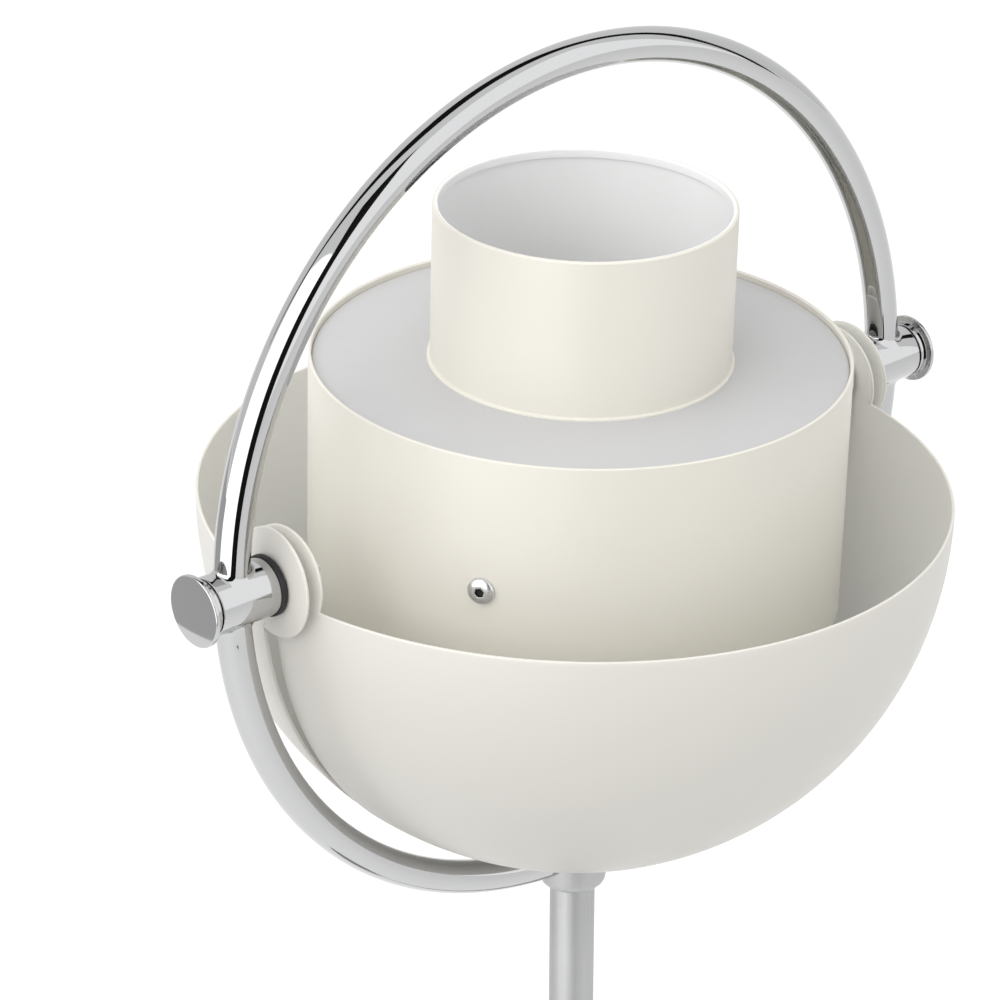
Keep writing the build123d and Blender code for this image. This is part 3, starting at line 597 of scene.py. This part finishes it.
def make_pivots():
    cap_high = measured("end_cap_right")[1]
    washer_low, washer_high = measured("friction_washer_right")
    pocket_floor = BOSS_HIGH.x - POCKET_DEPTH
    boss = rounded([
        (BORE_RADIUS, BOSS_LOW.x, 0.0002), (BOSS_RADIUS, BOSS_LOW.x, EDGE),
        (BOSS_RADIUS, BOSS_HIGH.x, EDGE), (POCKET_RADIUS, BOSS_HIGH.x, 0),
        (POCKET_RADIUS, pocket_floor, 0), (BORE_RADIUS, pocket_floor, 0)])
    neck = BOSS_HIGH.x + CAP_GROOVE
    rim = cap_high.y
    spans = [pi / 2 * k / 10 for k in range(2, 10)]
    face = [(rim * cos(a), cap_high.x - CAP_DOME * cos(a) ** 2, 0) for a in spans]
    back = cap_high.x - CAP_FLANGE
    cap = rounded([
        (0, neck - CAP_SPIGOT, 0), (POCKET_RADIUS, neck - CAP_SPIGOT, 0), (POCKET_RADIUS, neck, 0),
        (BOSS_RADIUS, neck, 0.0003), (BOSS_RADIUS, back, 0.00025), (rim, back, 0.0003),
        (rim, cap_high.x - CAP_DOME, 0.00055), *face, (0, cap_high.x, 0)])
    washer = rounded([
        (BORE_RADIUS, washer_low.x, 0), (washer_high.y, washer_low.x, 0.0006),
        (washer_high.y, washer_high.x, 0.0006), (BORE_RADIUS, washer_high.x, 0)])
    for side, mirror in SIDES.items():
        turned_on_axle(f"boss_{side}", boss, 128, f"pivot_boss_{side}", "chrome", mirror)
        turned_on_axle(f"cap_{side}", cap, 128, f"end_cap_{side}", "chrome", mirror)
        turned_on_axle(f"washer_{side}", washer, 96, f"friction_washer_{side}", "black_rubber", mirror)


# ---------------------------------------------------------------- collar, stem and base
STEM_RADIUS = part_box("stem_upper")[1].x
STEM_BORE = 0.0067          # radius of the threaded spigots
TUBE_BORE = 0.0051
COLLAR_SOCKET = 0.0056
SPIGOT_RISE = 0.0055        # up into the collar
SPIGOT_DROP = 0.016         # down into the base
STEM_STEPS = 128


def turned_piece(name, corners, node):
    """Satin solid of revolution about the stem's line, with heights from the floor."""
    vertices, faces = lathe(rounded(corners), STEM_STEPS)
    piece = finish_mesh(name, vertices, faces, Matrix.Identity(4), materials=[PAINTS["satin_steel"]])
    stand_in(piece, node, "stand")


def make_collar():
    low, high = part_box("hoop_collar")
    radius = high.x
    socket = low.z + COLLAR_SOCKET
    turned_piece("collar", [
        (0, socket, 0), (STEM_BORE, socket, 0), (STEM_BORE, low.z, 0),
        (radius, low.z, radius - STEM_RADIUS - 0.0004), (radius, high.z, 0.0008), (0, high.z, 0)],
        "hoop_collar")


def make_upper_tube():
    low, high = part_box("stem_upper")
    top = high.z - SPIGOT_RISE
    turned_piece("stem_upper_tube", [
        (TUBE_BORE, low.z, 0), (STEM_RADIUS, low.z, 0.0003), (STEM_RADIUS, top, 0.0003),
        (STEM_BORE, top, 0), (STEM_BORE, high.z, 0), (TUBE_BORE, high.z, 0)], "stem_upper")


def make_lower_tube():
    low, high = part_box("stem_lower")
    foot = low.z + SPIGOT_DROP
    turned_piece("stem_lower_tube", [
        (TUBE_BORE, low.z, 0), (STEM_BORE, low.z, 0), (STEM_BORE, foot, 0),
        (STEM_RADIUS, foot, 0.0003), (STEM_RADIUS, high.z, 0.0003), (TUBE_BORE, high.z, 0)],
        "stem_lower")


def make_foot_ring():
    low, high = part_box("foot_collar")
    turned_piece("foot_ring", [
        (STEM_RADIUS, low.z, 0), (high.x, low.z, 0.0002), (high.x, low.z + 0.0025, 0.0012),
        (0.012, low.z + 0.006, 0.003), (0.0102, high.z, 0.0008), (STEM_RADIUS, high.z, 0.0002)],
        "foot_collar")


def make_stand():
    make_collar()
    make_upper_tube()
    make_lower_tube()
    make_foot_ring()


# ---------------------------------------------------------------- drum, plate and cylinders
LEAN_SIN, LEAN_COS = sin(HEAD_LEAN), cos(HEAD_LEAN)
DRUM_HIGH = measured("drum")[1]
DRUM_RADIUS = DRUM_HIGH.x
DRUM_HALF = (DRUM_HIGH.z - DRUM_RADIUS * LEAN_SIN) / LEAN_COS
SHEET = 0.0012
LIP_RADIUS = measured("upper_cylinder")[1].x
CYLINDER_RADIUS = LIP_RADIUS - 0.001
CYLINDER_TOP = (measured("upper_cylinder")[1].z - CYLINDER_RADIUS * LEAN_SIN) / LEAN_COS
CYLINDER_FOOT = 0.038
PLATE_FACE = DRUM_HALF - 0.0022
HEM_DEPTH = 0.0036
HEM_WALL = 0.0019


def inner_kinds(vertices, faces, radius, low):
    """Material 1 for faces on the inside of a turned wall above a height, 0 elsewhere."""
    kinds = []
    for face in faces:
        middle = sum((Vector(vertices[i]) for i in face), Vector()) / len(face)
        kinds.append(1 if hypot(middle.x, middle.y) < radius and abs(middle.z) > low else 0)
    return kinds


def make_drum():
    inner = DRUM_RADIUS - SHEET
    edge = 0.00055
    outline = rounded([
        (inner, -DRUM_HALF, edge), (DRUM_RADIUS, -DRUM_HALF, edge),
        (DRUM_RADIUS, DRUM_HALF, edge), (inner, DRUM_HALF, edge)], 6)
    vertices, faces = lathe(outline, 256)
    kinds = inner_kinds(vertices, faces, inner + 0.0001, 0)
    drum = finish_mesh("drum_wall", vertices, faces, ON_HEAD, kinds, [DRUM_PAINTED_LIGHT, INSIDE_WITH_PAINTED_LIGHT])
    stand_in(drum, "drum", "head")


def make_top_plate():
    outer = DRUM_RADIUS - SHEET
    low = PLATE_FACE - SHEET
    outline = rounded([
        (CYLINDER_RADIUS, low, 0), (outer - SHEET, low, 0.0004), (outer - SHEET, low - 0.007, 0),
        (outer, low - 0.007, 0), (outer, PLATE_FACE, 0.0011), (CYLINDER_RADIUS, PLATE_FACE, 0)])
    vertices, faces = lathe(outline, 256)
    plate = finish_mesh("top_plate_disc", vertices, faces, ON_HEAD, materials=[PLATE_PAINTED_SHADE])
    stand_in(plate, "top_plate", "head")


def make_cylinders():
    """Open cylinder with a turned-in hem at its mouth and a fine lip on the plate."""
    wall = CYLINDER_RADIUS - SHEET
    hem = CYLINDER_RADIUS - HEM_WALL
    lip = 0.0008
    outline = rounded([
        (wall, CYLINDER_FOOT, 0), (CYLINDER_RADIUS, CYLINDER_FOOT, 0), (CYLINDER_RADIUS, PLATE_FACE, 0),
        (LIP_RADIUS, PLATE_FACE, 0), (LIP_RADIUS, PLATE_FACE + lip, 0.0004),
        (CYLINDER_RADIUS, PLATE_FACE + lip, 0.00025), (CYLINDER_RADIUS, CYLINDER_TOP, 0.0008),
        (hem, CYLINDER_TOP, 0.0008), (hem, CYLINDER_TOP - HEM_DEPTH, 0.0003),
        (wall, CYLINDER_TOP - HEM_DEPTH, 0.0002)], 6)
    vertices, faces = lathe(outline, 224)
    kinds = inner_kinds(vertices, faces, CYLINDER_RADIUS - SHEET + 0.0001, 0)
    for which, turn in (("upper", Matrix.Identity(4)), ("lower", Matrix.Rotation(pi, 4, "X"))):
        piece = finish_mesh(f"{which}_cylinder_wall", vertices, faces, ON_HEAD @ turn, kinds,
                            [DRUM_PAINTED_LIGHT, INSIDE_WITH_PAINTED_LIGHT])
        stand_in(piece, f"{which}_cylinder", "head")


# ---------------------------------------------------------------- screws of the drum
SCREW_ANGLES = (radians(208.2), radians(-28.2), radians(90))
SCREW_DROP = 0.002
HEAD_RADIUS = 0.00475
HEAD_HEIGHT = 0.0026
HEAD_SIDE = 0.0006          # upright part of the head's edge
CROWN_START = radians(16)   # where the domed crown leaves that edge
CROWN_SHARE = 0.78          # how far it goes towards the middle
CROWN_SWELL = 1.02
HEX_HALF = 0.0015
SHANK_RADIUS = 0.0025
SHANK_LENGTH = 0.007
SCREW_TURN = radians(17)    # of the hexagon about the screw's own line
SOCKET_SHADE_WITHIN = HEX_HALF * 1.18   # the recess takes a near-black material: painted shade in the socket, so that it reads as a hole


def screw_outline():
    """Button head with a hexagon socket; returns the outline and its hexagon points."""
    crown = []
    for k in range(9):
        a = CROWN_START + (pi / 2 - CROWN_START) * k / 8 * CROWN_SHARE
        rise = HEAD_SIDE + (HEAD_HEIGHT - HEAD_SIDE) * sin(a)
        crown.append((HEAD_RADIUS * cos(a) * CROWN_SWELL, rise))
    outline = [(0, -SHANK_LENGTH), (SHANK_RADIUS - 0.0004, -SHANK_LENGTH),
               (SHANK_RADIUS, 0.0005 - SHANK_LENGTH), (SHANK_RADIUS, 0.0),
               (HEAD_RADIUS - 0.0002, 0.0), (HEAD_RADIUS, 0.0002), (HEAD_RADIUS, HEAD_SIDE)]
    outline += [p for p in crown if HEX_HALF * 1.35 < p[0] < HEAD_RADIUS - 0.00005]
    top = outline[-1][1]
    outline += [(HEX_HALF * 1.22, top + 0.00006)]
    first_hexagon = len(outline)
    outline += [(HEX_HALF * 1.03, top), (HEX_HALF, top - 0.0002), (HEX_HALF, top - 0.0014)]
    outline += [(0, top - 0.0019)]
    return outline, range(first_hexagon, first_hexagon + 3)


def make_screws():
    outline, hexagon = screw_outline()
    vertices, faces = lathe(outline, 48, hexagon)
    everything, all_faces, kinds = [], [], []
    for angle in SCREW_ANGLES:
        place = Matrix.Rotation(angle, 4, "Z") @ Matrix.Translation((DRUM_RADIUS, 0, -SCREW_DROP))
        place = place @ ALONG_X @ Matrix.Rotation(SCREW_TURN, 4, "Z")
        start = len(everything)
        everything += [place @ Vector(v) for v in vertices]
        all_faces += [tuple(i + start for i in face) for face in faces]
        for face in faces:
            corners = [vertices[i] for i in face]
            # faces down in the socket take material 1, black rubber: painted shade
            kinds.append(int(all(hypot(x, y) < SOCKET_SHADE_WITHIN and z > 0 for x, y, z in corners)))
    screws = finish_mesh("drum_screws", everything, all_faces, ON_HEAD, kinds,
                         [PAINTS["zinc_steel"], PAINTS["black_rubber"]])
    stand_in(screws, "spider_screws", "head")


# ---------------------------------------------------------------- shells
SHELL_RADIUS = 0.138
SHELL_EDGE = 0.00055
HOLE_RADIUS = 0.0065
FRONT_RIM = radians(180.9)
REAR_RIM = radians(2.5)
LOWER_EDGE = radians(-88.7)
LOWER_EDGE_GAP = 0.0008
ACROSS_STEPS = 56
FAN_STEPS = 84
EAR_RINGS = 6
EAR_FREE_STEPS = 72
FRONT_EAR = 0.0188
REAR_EAR = 0.0193


def heading(angle):
    return Vector((cos(angle), sin(angle)))


def far_crossing(point, way, centre, radius):
    """Where a line from a point, going one way, leaves a circle."""
    offset = point - centre
    along = offset.dot(way)
    return point + way * (sqrt(along ** 2 - offset.length_squared + radius ** 2) - along)


def shell_skin(half_width, radius, centre, ear, edges):
    """Grid vertices of one skin surface.  Works in (y, z) from the axle; edges are the two
    (point, direction) lines that bound the quarter, in order of growing angle."""
    starts = [far_crossing(p, heading(a), Vector((0, 0)), ear) for p, a in edges]
    ends = [far_crossing(p, heading(a), centre, radius) for p, a in edges]
    start_angles = [atan2(q.y, q.x) % (2 * pi) for q in starts]
    end_angles = [atan2((q - centre).y, (q - centre).x) % (2 * pi) for q in ends]
    for angles in (start_angles, end_angles):
        if angles[1] < angles[0]:
            angles[1] += 2 * pi

    def lift(q, sign):
        flat = (q - centre).length_squared / radius ** 2
        return Vector((sign * half_width * sqrt(max(0.0, 1 - flat)), q.x, q.y))

    vertices, fan = [], []
    for i in range(FAN_STEPS + 1):
        share = i / FAN_STEPS
        start = heading(start_angles[0] + (start_angles[1] - start_angles[0]) * share) * ear
        end = centre + heading(end_angles[0] + (end_angles[1] - end_angles[0]) * share) * radius
        offset, run = start - centre, end - start
        low = asin(min(1.0, offset.length / radius))
        row = []
        for j in range(ACROSS_STEPS + 1):
            reach = radius * sin(low + (pi / 2 - low) * j / ACROSS_STEPS)
            a, b, c = run.length_squared, offset.dot(run), offset.length_squared - reach ** 2
            row.append(start + run * ((sqrt(max(0.0, b * b - a * c)) - b) / a))
        line = [lift(q, -1) for q in row] + [lift(q, 1) for q in reversed(row[:-1])]
        fan.append(list(range(len(vertices), len(vertices) + len(line))))
        vertices += line
    ears = {}
    for sign, column in ((-1, 0), (1, 2 * ACROSS_STEPS)):
        angles = [start_angles[0] + (start_angles[1] - start_angles[0]) * i / FAN_STEPS
                  for i in range(FAN_STEPS + 1)]
        rest = 2 * pi - (start_angles[1] - start_angles[0])
        angles += [start_angles[1] + rest * k / EAR_FREE_STEPS for k in range(1, EAR_FREE_STEPS)]
        rings = []
        for ring_number in range(EAR_RINGS + 1):
            reach = HOLE_RADIUS + (ear - HOLE_RADIUS) * ring_number / EAR_RINGS
            ring = []
            for k, angle in enumerate(angles):
                if ring_number == EAR_RINGS and k <= FAN_STEPS:
                    ring.append(fan[k][column])
                else:
                    ring.append(len(vertices))
                    vertices.append(lift(heading(angle) * reach, sign))
            rings.append(ring)
        ears[sign] = rings
    return vertices, fan, ears


def skin_faces(fan, ears):
    faces = []
    for i in range(len(fan) - 1):
        for k in range(len(fan[0]) - 1):
            faces.append((fan[i][k], fan[i][k + 1], fan[i + 1][k + 1], fan[i + 1][k]))
    for rings in ears.values():
        for inner, outer in zip(rings, rings[1:]):
            for k in range(len(inner)):
                n = (k + 1) % len(inner)
                faces.append((inner[k], inner[n], outer[n], outer[k]))
    return faces


def rim_loop(fan, ears):
    """The outer boundary, in order: first edge, right ear, last edge, left ear."""
    free_right = ears[1][-1][FAN_STEPS + 1:]
    free_left = ears[-1][-1][FAN_STEPS + 1:]
    return fan[0] + free_right[::-1] + fan[-1][::-1] + free_left


def make_shell(name, node, body, centre, ear, edges):
    """Thin pressed skin, with its rim rolled to a half round."""
    half_width = measured(node)[1].x
    surfaces = []
    for inset in (0, SHEET):
        surfaces.append(shell_skin(half_width - inset, SHELL_RADIUS - inset, centre, ear, edges))
    (outer, fan, ears), (inner, _, _) = surfaces
    count = len(outer)
    faces = skin_faces(fan, ears)
    kinds = [0] * len(faces)
    faces = faces + [tuple(i + count for i in face) for face in faces]
    kinds += [1] * (len(faces) // 2)
    loop = rim_loop(fan, ears)
    size = len(loop)
    outward = []
    for k, index in enumerate(loop):
        along = outer[loop[(k + 1) % size]] - outer[loop[k - 1]]
        through = outer[index] - inner[index]
        outward.append(along.cross(through).normalized())
    inside_point = outer[fan[FAN_STEPS // 2][ACROSS_STEPS]]
    if (outer[loop[ACROSS_STEPS]] - inside_point).dot(outward[ACROSS_STEPS]) < 0:
        outward = [-way for way in outward]
    vertices = outer + inner
    for way, index in zip(outward, loop):
        vertices[index] = vertices[index] - way * SHELL_EDGE
        vertices[index + count] = vertices[index + count] - way * SHELL_EDGE
    arcs = 6
    rows = [list(loop)]
    for step in range(1, arcs):
        a = pi / 2 - pi * step / arcs
        row = []
        for way, index in zip(outward, loop):
            middle = (vertices[index] + vertices[index + count]) / 2
            half = (vertices[index] - vertices[index + count]) / 2
            row.append(len(vertices))
            vertices.append(middle + half * sin(a) + way * (SHELL_EDGE * cos(a)))
        rows.append(row)
    rows.append([i + count for i in loop])
    for upper, lower in zip(rows, rows[1:]):
        for k in range(size):
            n = (k + 1) % size
            faces.append((upper[k], upper[n], lower[n], lower[k]))
            kinds.append(0)
    for rings in ears.values():
        hole = rings[0]
        for k in range(len(hole)):
            n = (k + 1) % len(hole)
            faces.append((hole[k], hole[n], hole[n] + count, hole[k] + count))
            kinds.append(0)
    shell = finish_mesh(name, vertices, faces, ON_AXLE, kinds, [PAINTS["lacquer"], SHELL_LINING_WITH_PAINTED_LIGHT])
    stand_in(shell, node, body)


def make_shells():
    front_low = measured("front_shell")[0]
    front_centre = Vector((front_low.y + SHELL_RADIUS, front_low.z + SHELL_RADIUS))
    rear_low, rear_high = measured("rear_shell")
    rear_centre = Vector((rear_high.y - SHELL_RADIUS, rear_low.z + SHELL_RADIUS))
    edge_point = front_centre + Vector((LOWER_EDGE_GAP, 0))
    make_shell("front_shade", "front_shell", "front_shade", front_centre, FRONT_EAR,
               [(front_centre, FRONT_RIM), (front_centre, LOWER_EDGE)])
    make_shell("rear_shade", "rear_shell", "rear_shade", rear_centre, REAR_EAR,
               [(edge_point, LOWER_EDGE), (rear_centre, REAR_RIM)])


# ---------------------------------------------------------------- the scene
make_camera()
make_studio()
paint_frame()
make_hoop()
make_pivots()
make_stand()
make_drum()
make_top_plate()
make_cylinders()
make_screws()
make_shells()
